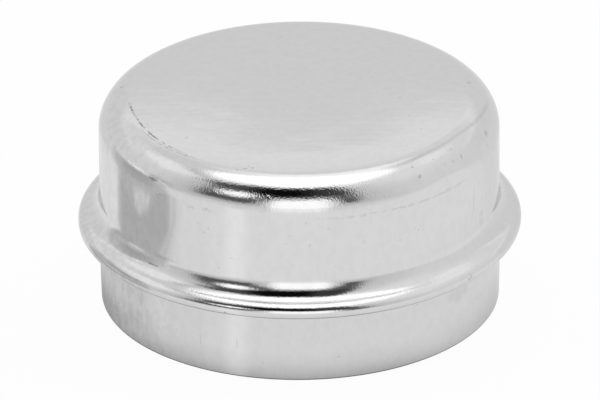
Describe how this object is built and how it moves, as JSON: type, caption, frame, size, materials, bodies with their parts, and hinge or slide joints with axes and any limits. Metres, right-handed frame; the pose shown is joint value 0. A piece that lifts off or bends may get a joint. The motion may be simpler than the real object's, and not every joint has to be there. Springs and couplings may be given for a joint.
{
  "type": "hub grease cap",
  "caption": "Round drawn-steel cap that closes a wheel hub: nearly flat closed end, rounded corner, folded bead that seats on the hub's face, and an open skirt that presses into its bore.",
  "frame": {"origin": "centre of the skirt's open mouth, in the plane of its trimmed edge", "axes": "+Z along the axis of the cap, from the mouth to the closed end; the cap is round, so X and Y are free"},
  "size_m": [0.0614, 0.0614, 0.03],
  "materials": {
    "bright_zinc_plate": "gloss"
  },
  "bodies": {
    "root": {"grease_cap": "bright_zinc_plate"}
  },
  "joints": []
}
